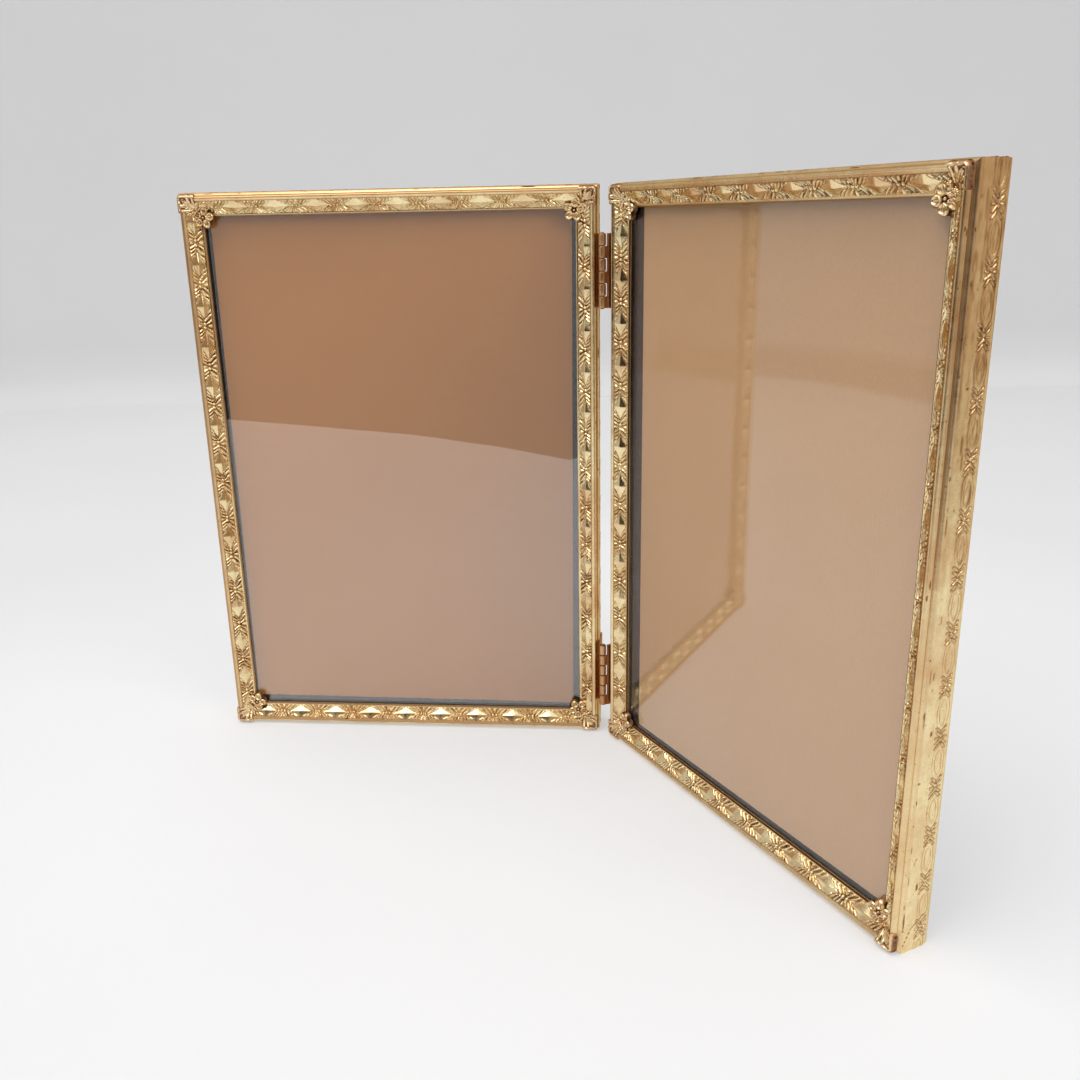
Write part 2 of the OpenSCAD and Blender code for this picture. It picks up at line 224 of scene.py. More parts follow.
def stamped_height(s, v, phase, period):
    """Height of the stamped pattern at s along the rail and v in from its middle line."""
    a = (s - phase + period / 2) % period - period / 2
    shift_s, shift_v = wandered(s, v)
    c = period / 2 - np.abs(a) + shift_s
    across = v + shift_v
    ground = -0.05 + 0.10 * (value_noise(s * 2.7, v * 2.7 + 40, 5) - 0.5)
    inside = 1 - soft_abs(a, 0.42) / LOZENGE_L - soft_abs(v, 0.10) / LOZENGE_W
    lozenge = np.where(inside > 0, 0.05 + LOZENGE_RISE * inside, ground)
    border = 0.26 * np.exp(-((inside + 0.19) / 0.075) ** 2) * (v < 2.1)
    height = np.maximum(lozenge, ground + border)
    for course, rise in SPRAY:
        height = np.maximum(height, stroke(c, across, course, rise))
    height = np.maximum(height, bead(c, v, (0.66, 0.0), 0.50, 0.54))
    for at in ((1.15, 1.80), (0.0, 0.55)):
        height = height - bead(c, v, at, 0.36, 0.14)
    return height


def stamped_recess(s, v, phase, period, height):
    """Where tarnish stays in the stamped pattern, 0 to 1."""
    a = (s - phase + period / 2) % period - period / 2
    spray = smooth_step((6.2 - period / 2 + np.abs(a)) / 1.5)
    uneven = 0.1 + 1.6 * value_noise(s * 0.7, v * 0.7 + 7, 31)
    ground = np.clip((0.18 - height) / 0.16, 0, 1) * (0.10 + 0.50 * spray) * uneven
    valley = np.clip((blurred(height, 2) - height) / 0.17, 0, 1) * (0.30 + 0.5 * uneven)
    return np.clip(np.maximum(ground, valley), 0, 1)


def band_height(s, v, phase, period):
    """Shallow pattern of the side wall: long ovals with crossing sprigs between them."""
    a = (s - phase + period / 2) % period - period / 2
    shift_s, shift_v = wandered(s + 31, v)
    c = period / 2 - np.abs(a) + shift_s
    across = np.abs(v + shift_v)
    ring = np.hypot((a + shift_s) / 3.9, (v + shift_v) / 1.45)
    height = 0.17 * np.exp(-((ring - 1) / 0.17) ** 2)
    height = np.maximum(height, 0.09 * np.exp(-((v - 0.35 * a) / 0.30) ** 2) * np.clip(1 - ring, 0, 1))
    for course in (
        [(0.45, 0.30, 0.16), (1.05, 0.80, 0.30), (1.60, 1.60, 0.18)],
        [(1.35, 0.20, 0.14), (2.10, 0.75, 0.28), (2.80, 1.65, 0.16)],
        [(0.0, 0.65, 0.16), (0.0, 1.50, 0.28)],
    ):
        height = np.maximum(height, stroke(c, across, course, 0.24))
    return np.maximum(height, bead(c, v, (0.55, 0.0), 0.42, 0.26))


def border_dots(s, v):
    """Row of small pits along the outer border."""
    step = 0.95
    a = (s % step) - step / 2
    return np.clip(1 - (a ** 2 + (v + 1.66) ** 2) / 0.14 ** 2, 0, 1)


def blurred(grid, steps):
    """Running mean over steps cells each way, along both axes."""
    out = grid
    for axis in (0, 1):
        total = np.zeros_like(out)
        for shift in range(-steps, steps + 1):
            total += np.roll(out, shift, axis=axis)
        out = total / (2 * steps + 1)
    return out


def slope_depth(w):
    """Depth of the hollowed slope at a distance in from the side wall."""
    share = (w - BEVEL_AT) / (RIM_AT - BEVEL_AT)
    return BEVEL_FALL + (RIM_FRONT - BEVEL_FALL) * share + SCOOP * np.sin(pi * share)


def line(start, end, count):
    """Points from start up to, not with, end."""
    share = np.arange(count) / count
    return [(start[0] + (end[0] - start[0]) * t, start[1] + (end[1] - start[1]) * t) for t in share]


def rim_bead(count):
    """The half-round rim at the sight edge, up to, not with, the slope."""
    share = np.arange(count) / count
    bulge = 0.20 * np.sin(pi * share) ** 0.8
    depth = SIGHT_FRONT + (RIM_FRONT - SIGHT_FRONT) * share - bulge
    return list(zip(depth.tolist(), (FACE_W + (RIM_AT - FACE_W) * share).tolist()))


def crest_curve(count):
    """Rounded outer edge, from the bevel to the groove."""
    turn = np.radians(180 + 90 * np.arange(count) / count)
    return [(CREST_DEPTH * (1 + cos(t)), CREST_AT + CREST_W * sin(t)) for t in turn]


def back_fold(count):
    """Rounded edge where the side wall is rolled over to the back."""
    turn = np.radians(90 * np.arange(count) / count)
    return [(PANEL_T - FOLD_DEEP * (1 - sin(t)), FOLD_WIDE * (1 - cos(t))) for t in turn]


def moulding_outline():
    """The moulding's closed outline as (depth, in), and which stretch each point is on."""
    slope_count = int(SLOPE_RUN / ACROSS_STEP)
    band_count = int((PANEL_T - FOLD_DEEP - SIDE_PLAIN_TO) / (ACROSS_STEP * 1.5))
    slope = [(float(slope_depth(w)), w) for w in np.linspace(RIM_AT, BEVEL_AT, slope_count, endpoint=False)]
    stretches = [
        ("rim", rim_bead(8)),
        ("slope", slope),
        ("bevel", line((BEVEL_FALL, BEVEL_AT), (0, CREST_AT), 4)),
        ("crest", crest_curve(9)),
        ("groove", line((CREST_DEPTH, LIP_INSET), (GROOVE_AT - 0.05, LIP_INSET + 0.10), 2)),
        ("groove", line((GROOVE_AT - 0.05, LIP_INSET + 0.10), (GROOVE_AT + 0.15, LIP_INSET - 0.05), 1)),
        ("groove", line((GROOVE_AT + 0.15, LIP_INSET - 0.05), (GROOVE_AT + 0.40, 0.42), 2)),
        ("nose", line((GROOVE_AT + 0.40, 0.42), (GROOVE_AT + 0.70, 0.12), 2)),
        ("nose", line((GROOVE_AT + 0.70, 0.12), (WALL_FROM, 0), 2)),
        ("wall", line((WALL_FROM, 0), (SIDE_PLAIN_TO, 0), 6)),
        ("band", line((SIDE_PLAIN_TO, 0), (PANEL_T - FOLD_DEEP, 0), band_count)),
        ("fold", back_fold(8)),
        ("back", line((PANEL_T, FOLD_WIDE), (PANEL_T - 0.15, SHEET), 1)),
        ("back", line((PANEL_T - 0.15, SHEET), (FLANGE_BACK, SHEET), 2)),
        ("back", line((FLANGE_BACK, SHEET), (FLANGE_BACK, RABBET_W), 3)),
        ("back", line((FLANGE_BACK, RABBET_W), (slope_depth(RABBET_W) + SLOPE_SHEET, RABBET_W), 2)),
        ("back", line((slope_depth(RABBET_W) + SLOPE_SHEET, RABBET_W), (SIGHT_BACK, RIM_AT), 2)),
        ("back", line((SIGHT_BACK, RIM_AT), (SIGHT_BACK, FACE_W), 1)),
        ("edge", line((SIGHT_BACK, FACE_W), (SIGHT_FRONT, FACE_W), 2)),
    ]
    names = [name for name, points in stretches for _ in points]
    outline = np.array([point for _, points in stretches for point in points])
    return outline, np.array(names)


OUTLINE, STRETCH = moulding_outline()


def outline_normals():
    """Unit vectors out of the metal at each point of the outline."""
    ahead = np.roll(OUTLINE, -1, axis=0) - np.roll(OUTLINE, 1, axis=0)
    ahead /= np.linalg.norm(ahead, axis=1, keepdims=True)
    return np.stack([ahead[:, 1], -ahead[:, 0]], axis=1)


NORMALS = outline_normals()
# Where one lozenge of each rail lies along it, and how far it is to the next
LOZENGES = {
    ("left", "bottom"): (18.4, 13.2),
    ("left", "top"): (50.0, 13.3),
    ("left", "hinge"): (36.3, 13.25),
    ("left", "outer"): (32.0, 13.3),
    ("right", "bottom"): (56.0, 13.25),
    ("right", "top"): (27.3, 13.5),
    ("right", "hinge"): (39.2, 13.25),
    ("right", "outer"): (33.0, 13.25),
}
# The side pattern of the right outer stile isn't in step with its front
SIDE_LOZENGE = 12.5
# Share of the dark tarnish that is left on the rails that are rubbed most
RUBBED = {("left", "top"): 0.5, ("left", "bottom"): 0.8, ("right", "hinge"): 0.8}
# How tarnished the plain crest and the bevel are
PLAIN_AGE = {
    ("left", "bottom"): (0.02, 0.62), ("left", "top"): (0.46, 0.20), ("left", "outer"): (0.42, 0.30),
    ("right", "hinge"): (0.42, 0.02), ("right", "bottom"): (0.30, 0.15), ("left", "hinge"): (0.16, 0.04),
}
# How dark the painted shade is along the sight edge
SIGHT_SHADE = {
    ("right", "bottom"): 1.0, ("right", "hinge"): 1.0, ("right", "outer"): 0.9,
    ("left", "hinge"): 0.15, ("left", "bottom"): 0.8,
}
NODE_OF = {"top": "top_rail", "bottom": "bottom_rail", "hinge": "hinge_stile", "outer": "outer_stile"}
# Course of the seam where the side wall's sheet laps round the lower corner, as (up, depth)
SEAM_COURSE = [(1.2, 2.2), (3.6, 3.6), (6.4, 5.0), (7.6, 6.6), (9.4, 8.6), (10.2, 11.6)]


def on(*names):
    """Which points of the outline are on the named stretches."""
    return np.isin(STRETCH, names)


def scratches(s, b, rng):
    """Dark scratches and spots on the plain part of the side wall, 0 to 1."""
    mark = np.zeros(s.shape)
    span = s.max()
    for _ in range(60):
        at_s = rng.uniform(4, span - 4)
        at_b = rng.choice([1.0, 2.5, 3.0, 4.2, 5.4]) + rng.normal(0, 0.25)
        half_s = rng.uniform(0.15, 1.8) ** 1.5
        half_b = rng.uniform(0.05, 0.20)
        reach = ((s - at_s) / half_s) ** 2 + ((b - at_b) / half_b) ** 2
        mark = np.maximum(mark, np.clip(1.3 - reach, 0, 1) * rng.uniform(0.3, 0.9))
    return mark


def aged(s, b, length, place):
    """Slow streaks of tarnish down the side wall, more of them towards the top."""
    streak = value_noise(s * 0.06, b * 1.6, 17) * value_noise(s * 0.5, b * 2.5, 19)
    upwards = smooth_step((s / length - 0.35) / 0.6) if place == "outer" else 0.3
    return 0.06 + 0.10 * upwards + streak * (0.15 + 0.55 * upwards)


def lap_seam(s, b):
    """1 on the lap seam of an outer stile, 0 away from it."""
    off = np.full(s.shape, 99.0)
    for (s0, b0), (s1, b1) in zip(SEAM_COURSE, SEAM_COURSE[1:]):
        run_s, run_b = s1 - s0, b1 - b0
        share = ((s - s0) * run_s + (b - b0) * run_b) / (run_s ** 2 + run_b ** 2)
        share = np.clip(share, 0, 1)
        off = np.minimum(off, np.hypot(s - s0 - share * run_s, b - b0 - share * run_b))
    return np.clip(1 - off / 0.28, 0, 1) * on("wall", "band")


class Rail:
    """The surface of one mitred length of moulding, as rows of points round its outline."""

    def __init__(self, side, place):
        self.side = side
        self.place = place
        self.length = PANEL_W if place in ("top", "bottom") else PANEL_H
        self.phase, self.period = LOZENGES[side, place]
        rows = int(self.length / ALONG_STEP)
        share = np.linspace(0, 1, rows)[:, None]
        self.depth = np.repeat(OUTLINE[None, :, 0], rows, axis=0)
        self.inset = np.repeat(OUTLINE[None, :, 1], rows, axis=0)
        self.s = self.inset + (self.length - 2 * self.inset) * share
        self.v = self.inset - PATTERN_AT
        self.fade = smooth_step((self.inset - BEVEL_AT) / 0.14)
        self.fade *= smooth_step((PATTERN_TO - self.inset) / 0.35)
        self.stamped = stamped_height(self.s, self.v, self.phase, self.period)
        self.seam = lap_seam(self.s, self.depth) if place == "outer" else np.zeros(self.s.shape)

    def relief(self):
        """How far the surface stands out from the plain outline."""
        front = self.stamped * self.fade - DOT_DEEP * border_dots(self.s, self.v)
        side_v = self.depth - SIDE_PATTERN_AT
        side_fade = smooth_step((SIDE_PATTERN_HALF - np.abs(side_v)) / 0.4)
        phase = SIDE_LOZENGE if (self.side, self.place) == ("right", "outer") else self.phase
        band = band_height(self.s, side_v, phase, self.period) * side_fade
        height = np.where(on("slope", "rim"), front, 0)
        height = np.where(on("band", "fold"), band, height)
        return height - SEAM_DEEP * self.seam

    def patina_and_shade(self, height):
        """Where tarnish and dirt stay, and where shade is painted along the sight edge and on the top rails'
        crest, from 0 to 1.
        """
        rubbed = RUBBED.get((self.side, self.place), 1)
        slope = stamped_recess(self.s, self.v, self.phase, self.period, self.stamped) * self.fade * rubbed
        hollows = np.clip((blurred(height, 1) - height) / 0.09, 0, 0.5)
        streaks = aged(self.s, self.depth, self.length, self.place)
        rng = np.random.default_rng(len(self.side) * 7 + len(self.place))
        marked = scratches(self.s, self.depth, rng)
        crest_age, bevel_age = PLAIN_AGE.get((self.side, self.place), (0.24, 0.16))
        patina_and_shade = np.where(on("slope", "rim"), slope, 0)
        patina_and_shade = np.where(on("band", "fold"), hollows + streaks, patina_and_shade)
        patina_and_shade = np.where(on("crest", "nose"), marked + crest_age, patina_and_shade)
        patina_and_shade = np.where(on("bevel"), marked + bevel_age, patina_and_shade)
        patina_and_shade = np.where(on("wall"), marked + streaks, patina_and_shade)
        # Painted shade: on the top rails the part of the crest that turns up to the top is darker.
        if self.place == "top":
            top_crest_shade = smooth_step((self.depth - 0.35) / 0.4) * on("crest")
            patina_and_shade = np.maximum(patina_and_shade, 0.55 * top_crest_shade)
        patina_and_shade = np.maximum(patina_and_shade, 0.40 * on("back"))
        return np.maximum(patina_and_shade, self.dirt_and_shade())

    def dirt_and_shade(self):
        """Darker at the bevel's foot, painted shade along the sight edge, and dirt in the groove and in the
        lap seam.
        """
        foot = np.exp(-((self.inset - BEVEL_AT + 0.05) / 0.15) ** 2) * on("bevel", "slope")
        # Painted shade: the rim darkens towards the sight edge, by an amount set for each rail.
        sight_shade = smooth_step((self.inset - 6.65) / 0.35) * on("rim")
        dirt_and_shade = np.maximum(0.70 * foot, SIGHT_SHADE.get((self.side, self.place), 0.5) * sight_shade)
        low_down = 0.25 if self.place == "outer" else 0.38
        stain = low_down + (0.62 - low_down) * smooth_step((self.s - 70) / 60)
        stain = stain * np.exp(-((self.depth - GROOVE_AT) / 0.42) ** 2) * on("crest", "groove", "nose")
        return np.maximum(np.maximum(dirt_and_shade, stain), 0.8 * self.seam)


def rail(side, place):
    """One mitred length of moulding, with its stamped relief."""
    surface = Rail(side, place)
    height = surface.relief()
    depth = surface.depth + height * NORMALS[None, :, 0]
    inset = surface.inset + height * NORMALS[None, :, 1]
    points = to_row(side, *on_rail(place, surface.s, depth, inset))
    rows, columns = height.shape
    faces = grid_faces(rows, columns, close_columns=True)
    faces.append(list(range(columns)))
    faces.append(list(range(rows * columns - 1, (rows - 1) * columns - 1, -1)))
    piece = make_piece(
        f"{side}_{NODE_OF[place]}_moulding", points.reshape(-1, 3), faces, f"{side}_panel",
        GILT, {"patina_and_shade": surface.patina_and_shade(height).ravel()}, crease=50,
    )
    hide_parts(f"{side}_{NODE_OF[place]}")


def linear(red, green, blue):
    """A colour as seen on screen, 0 to 255, as Blender's linear numbers."""
    parts = [value / 255 for value in (red, green, blue)]
    return tuple(p / 12.92 if p <= 0.04045 else ((p + 0.055) / 1.055) ** 2.4 for p in parts) + (1,)


def new_material(name, values):
    """A material with one shader, wired to its output. values are the shader's plain inputs."""
    material = bpy.data.materials.new(name)
    material.use_nodes = True
    tree = material.node_tree
    tree.nodes.clear()
    shader = node(tree, "ShaderNodeBsdfPrincipled", values)
    node(tree, "ShaderNodeOutputMaterial", {"Surface": shader.outputs["BSDF"]})
    return material, tree, shader


def node(tree, kind, inputs=None, **settings):
    """A shader node. Each input, by its name or number, is a socket to link or a plain value."""
    made = tree.nodes.new(kind)
    for key, value in settings.items():
        setattr(made, key, value)
    for key, value in (inputs or {}).items():
        if isinstance(value, bpy.types.NodeSocket):
            tree.links.new(value, made.inputs[key])
        else:
            made.inputs[key].default_value = value
    return made


def noise(tree, place, scale, detail=3.0, roughness=0.55):
    made = node(
        tree, "ShaderNodeTexNoise",
        {"Vector": place, "Scale": scale, "Detail": detail, "Roughness": roughness},
    )
    return made.outputs["Fac"]


def ramp(tree, value, low, high, start=0.0, end=1.0):
    """value from low..high mapped to start..end, held at both ends."""
    made = node(
        tree, "ShaderNodeMapRange",
        {"Value": value, "From Min": low, "From Max": high, "To Min": start, "To Max": end},
    )
    return made.outputs["Result"]


def mixed(tree, share, first, second):
    """Colour between first and second."""
    return node(tree, "ShaderNodeMix", {0: share, 6: first, 7: second}, data_type="RGBA").outputs[2]


def maths(tree, operation, first, second):
    """Result of one sum on two sockets or numbers."""
    return node(tree, "ShaderNodeMath", {0: first, 1: second}, operation=operation).outputs[0]


def brass(name, pale, warm, dark, roughness, spots):
    """Old gilt brass: pale where rubbed, coppery in patches and hollows, brown deep down and where shade is
    painted.
    """
    pale, warm, dark = linear(*pale), linear(*warm), linear(*dark)
    metal = {"Metallic": 1.0, "Specular Tint": linear(226, 200, 160)}
    material, tree, shader = new_material(name, metal)
    place = node(tree, "ShaderNodeTexCoord").outputs["Object"]
    patina_and_shade = node(tree, "ShaderNodeAttribute", attribute_name="patina_and_shade").outputs["Fac"]
    patch = ramp(tree, noise(tree, place, 60, 4), 0.44, 0.68, 0, 0.75)
    streak = ramp(tree, noise(tree, place, 380, 3), 0.50, 0.78, 0, 0.5)
    speck = ramp(tree, noise(tree, place, 1300, 2), 0.68, 0.75, 0, spots)
    rubbed = mixed(tree, patch, pale, warm)
    rubbed = mixed(tree, streak, rubbed, warm)
    colour = mixed(tree, ramp(tree, patina_and_shade, 0.10, 0.45), rubbed, warm)
    colour = mixed(tree, ramp(tree, patina_and_shade, 0.30, 1.0), colour, dark)
    colour = mixed(tree, speck, colour, dark)
    tree.links.new(colour, shader.inputs["Base Color"])
    rough = ramp(tree, patina_and_shade, 0, 1, roughness, roughness + 0.5)
    rough = maths(tree, "ADD", rough, ramp(tree, noise(tree, place, 260, 4), 0.35, 0.75, 0, 0.12))
    tree.links.new(rough, shader.inputs["Roughness"])
    dents = node(
        tree, "ShaderNodeBump",
        {"Height": noise(tree, place, 330, 2), "Strength": 0.35, "Distance": 0.0002},
    )
    grain = node(
        tree, "ShaderNodeBump",
        {
            "Height": noise(tree, place, 2000, 3), "Strength": 0.12, "Distance": 0.0001,
            "Normal": dents.outputs["Normal"],
        },
    )
    tree.links.new(grain.outputs["Normal"], shader.inputs["Normal"])
    return material


def clear_glass(name, index):
    """Clear glass that lets lamps through. Dust shows as slight roughness."""
    clear = {"Base Color": (0.97, 0.985, 0.975, 1), "Transmission Weight": 1.0, "IOR": index}
    material, tree, shader = new_material(name, clear)
    place = node(tree, "ShaderNodeTexCoord").outputs["Object"]
    dust = ramp(tree, noise(tree, place, 1800, 2), 0.70, 0.80, 0.0, 0.12)
    tree.links.new(dust, shader.inputs["Roughness"])
    output = next(n for n in tree.nodes if n.type == "OUTPUT_MATERIAL")
    path = node(tree, "ShaderNodeLightPath")
    shadow = node(tree, "ShaderNodeBsdfTransparent", {"Color": (0.96, 0.97, 0.965, 1)})
    both = node(
        tree, "ShaderNodeMixShader",
        {0: path.outputs["Is Shadow Ray"], 1: shader.outputs["BSDF"], 2: shadow.outputs["BSDF"]},
    )
    tree.links.new(both.outputs["Shader"], output.inputs["Surface"])
    return material


def paper(name, base, fleck, fibre_scale, contrast, roughness):
    """Kraft card or grey board: fine fibres, flecks and slow changes of tone."""
    material, tree, shader = new_material(name, {"Roughness": roughness, "Specular IOR Level": 0.2})
    place = node(tree, "ShaderNodeTexCoord").outputs["Object"]
    stretched = node(tree, "ShaderNodeMapping", {"Vector": place, "Scale": (1, 1, 0.5)}).outputs["Vector"]
    fibres = ramp(tree, noise(tree, stretched, fibre_scale, 3, 0.7), 0.3, 0.7, 0, contrast)
    flecks = ramp(tree, noise(tree, place, fibre_scale * 1.3, 2), 0.70, 0.76, 0, 0.45)
    pale_flecks = ramp(tree, noise(tree, place, fibre_scale * 0.8, 1), 0.80, 0.86, 0, 0.5)
    tone = ramp(tree, noise(tree, place, 14, 2), 0.35, 0.65, 0, 0.2)
    colour = mixed(tree, fibres, base, fleck)
    colour = mixed(tree, tone, colour, fleck)
    colour = mixed(tree, flecks, colour, fleck)
    colour = mixed(tree, pale_flecks, colour, linear(235, 222, 205))
    tree.links.new(colour, shader.inputs["Base Color"])
    bump = node(
        tree, "ShaderNodeBump",
        {"Height": noise(tree, place, fibre_scale, 2), "Strength": 0.05, "Distance": 0.00005},
    )
    tree.links.new(bump.outputs["Normal"], shader.inputs["Normal"])
    return material


GILT = brass("gilt_moulding", (249, 231, 182), (216, 174, 124), (92, 58, 36), 0.14, 0.6)
CAST = brass("cast_ornament", (240, 218, 172), (202, 156, 116), (80, 50, 36), 0.22, 0.7)
HINGE = brass("hinge_brass_aged", (228, 190, 140), (190, 134, 92), (64, 38, 24), 0.20, 0.7)
PIN = brass("pin_aged", (200, 176, 140), (158, 128, 94), (60, 42, 26), 0.3, 0.5)
PLAIN = brass("plain_brass_aged", (228, 200, 134), (200, 162, 100), (84, 58, 28), 0.25, 0.6)
# The left glass mirrors more of the sweep than the right one, so its index is higher
PANE = {
    "left": clear_glass("clear_pane_left", 2.1),
    "right": clear_glass("clear_pane_right", 1.65),
}
KRAFT = {
    "left": paper("kraft_card_left", linear(217, 149, 80), linear(190, 122, 58), 2600, 0.5, 0.85),
    "right": paper("kraft_card_right", linear(229, 182, 137), linear(207, 158, 113), 2600, 0.5, 0.85),
}
BOARD = paper("charcoal_board", linear(58, 54, 60), linear(42, 38, 44), 2400, 0.6, 0.9)


def bed_depth(w):
    """Depth of the moulding's front at a distance in from the side wall."""
    w = np.asarray(w, float)
    crest = CREST_DEPTH * (1 - np.sqrt(np.clip(1 - ((CREST_AT - w) / CREST_W) ** 2, 0, 1)))
    bevel = BEVEL_FALL * (w - CREST_AT) / (BEVEL_AT - CREST_AT)
    depth = np.where(w < CREST_AT, crest, bevel)
    depth = np.where(w >= BEVEL_AT, slope_depth(np.minimum(w, RIM_AT)), depth)
    return np.where(w > RIM_AT, RIM_FRONT + 0.35 * (np.minimum(w, FACE_W) - RIM_AT), depth)


class Casting:
    """Collects the closed shells that make one cast corner, drawn from the corner at (0, 0)."""

    def __init__(self, side, place, seed):
        self.side = side
        self.seed = seed
        self.outer = "outer" in place
        self.top = "top" in place
        self.points = []
        self.faces = []
        self.patina_and_shade = []

    def placed(self, x, b, z):
        """Points of this corner in the row frame."""
        x = PANEL_W - x if self.outer else x
        z = PANEL_H - z if self.top else z
        return to_row(self.side, x, b, z)

    def shell(self, x, z, front, back, patina_and_shade):
        """A slab with a shaped front over a grid of places."""
        rows, columns = x.shape
        first = sum(len(block) for block in self.points)
        count = rows * columns
        self.points.append(self.placed(x, front, z).reshape(-1, 3))
        self.points.append(self.placed(x, np.maximum(back, front + 0.02), z).reshape(-1, 3))
        self.patina_and_shade.append(np.asarray(patina_and_shade).ravel())
        self.patina_and_shade.append(np.full(count, 0.6))
        top = grid_faces(rows, columns, first)
        self.faces += top
        self.faces += [[q + count for q in reversed(quad)] for quad in top]
        rim = list(range(columns))
        rim += [i * columns + columns - 1 for i in range(1, rows)]
        rim += [(rows - 1) * columns + j for j in range(columns - 2, -1, -1)]
        rim += [i * columns for i in range(rows - 2, 0, -1)]
        for here, after in zip(rim, rim[1:] + rim[:1]):
            self.faces.append([first + after, first + here, first + count + here, first + count + after])

    def finish(self, name, node_name, material):
        """The casting as one piece that stands for a CAD node."""
        piece = make_piece(
            name, np.concatenate(self.points), self.faces, f"{self.side}_panel", material,
            {"patina_and_shade": np.concatenate(self.patina_and_shade)}, crease=40,
        )
        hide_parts(node_name)


# Lobes of the corner leaf, as (across, up, half width), from the flower out to the edges.
# Each but the first, on the diagonal, is there twice, mirrored in the diagonal.
LOBES = [
    ([(6.2, 6.2, 0.55), (4.6, 4.6, 0.85), (3.3, 3.3, 1.15), (2.6, 2.6, 0.70)], 0.52),
    ([(6.0, 5.5, 0.34), (4.4, 4.5, 0.58), (3.0, 4.0, 0.80), (1.9, 3.9, 0.60)], 0.46),
    ([(6.1, 6.0, 0.28), (4.7, 5.5, 0.42), (3.1, 5.4, 0.60), (1.9, 5.45, 0.50)], 0.40),
]
# Where the lobes meet the outer edge, as (place along it, half width)
LOBE_ENDS = ((1.8, 1.55), (3.95, 1.02), (5.45, 0.9))
LEAF_EDGE = 0.32
LEAF_INNER = 6.25
NOTCH = 0.45


def scalloped(along):
    """How far the leaf's outer edge is drawn in between its lobes."""
    reach = np.zeros(along.shape)
    for at, half in LOBE_ENDS:
        reach = np.maximum(reach, np.sqrt(np.clip(1 - ((along - at) / (half * 1.25)) ** 2, 0, 1)))
    return 0.20 * (1 - reach)


def rounded_corner(x, z, centre):
    """Draws the square corner of a grid in to a circle about (centre, centre)."""
    dx = np.clip(centre - x, 0, None)
    dz = np.clip(centre - z, 0, None)
    pull = np.maximum(dx, dz) / np.maximum(np.hypot(dx, dz), 1e-6)
    both = (dx > 0) & (dz > 0)
    return np.where(both, centre - dx * pull, x), np.where(both, centre - dz * pull, z)


def corner_leaf(casting):
    """Square leaf over the corner: soft lobes that spread from the flower to the edges."""
    cells = np.linspace(0, 1, 90)
    p, q = np.meshgrid(cells, cells, indexing="ij")
    inner_x = LEAF_INNER - NOTCH * (1 - np.abs(np.sin(3 * pi * q)))
    inner_z = LEAF_INNER - NOTCH * (1 - np.abs(np.sin(3 * pi * p)))
    outer_x = LEAF_EDGE + scalloped(LEAF_EDGE + q * 5.9)
    outer_z = LEAF_EDGE + scalloped(LEAF_EDGE + p * 5.9)
    x = outer_x + p * (inner_x - outer_x)
    z = outer_z + q * (inner_z - outer_z)
    from_edge = np.minimum(x - outer_x, z - outer_z)
    x, z = rounded_corner(x, z, 1.9)
    near = np.minimum(x, z)
    height = np.zeros(x.shape)
    for course, rise in LOBES:
        height = np.maximum(height, stroke(x, z, course, rise))
        height = np.maximum(height, stroke(z, x, course, rise))
    wavy = 0.8 + 0.5 * value_noise(x * 0.9 + 3 * casting.seed, z * 0.9, 37)
    height = np.maximum(height, 0.46 * wavy * np.exp(-((from_edge - 0.85) / 0.42) ** 2))
    height = height - 0.34 * np.exp(-(((x - 2.1) ** 2 + (z - 2.1) ** 2) / 0.42))
    fine = value_noise(x * 2.2 + 9 * casting.seed, z * 2.2, 11) - 0.5
    broad = value_noise(x * 0.7 + 5 * casting.seed, z * 0.7, 29) - 0.5
    height = height * (1 + 0.7 * broad) + 0.12 * fine
    bed = bed_depth(np.clip(near, CREST_AT, None))
    front = bed - 0.16 - height
    turned = np.clip(1 - from_edge / 0.75, 0, 1)
    front = front + 0.85 * (1 - np.sqrt(1 - np.minimum(turned, 0.995) ** 2))
    front = np.clip(front, -0.78, bed + 0.9)
    patina_and_shade = np.clip((blurred(height, 3) - height) / 0.11, 0, 1)
    patina_and_shade = np.maximum(patina_and_shade, np.clip(0.80 - 2.2 * height, 0, 0.8))
    # Painted shade on the leaf where the flower overhangs it.
    shade_under_flower = smooth_step((near - 5.2) / 0.8) * smooth_step((6.9 - np.maximum(x, z)) / 0.5)
    patina_and_shade = np.maximum(patina_and_shade, 0.9 * shade_under_flower)
    back = np.where(from_edge < 0.9, np.maximum(front + 0.3, 1.25), bed + 0.25)
    casting.shell(x, z, front, back, patina_and_shade)


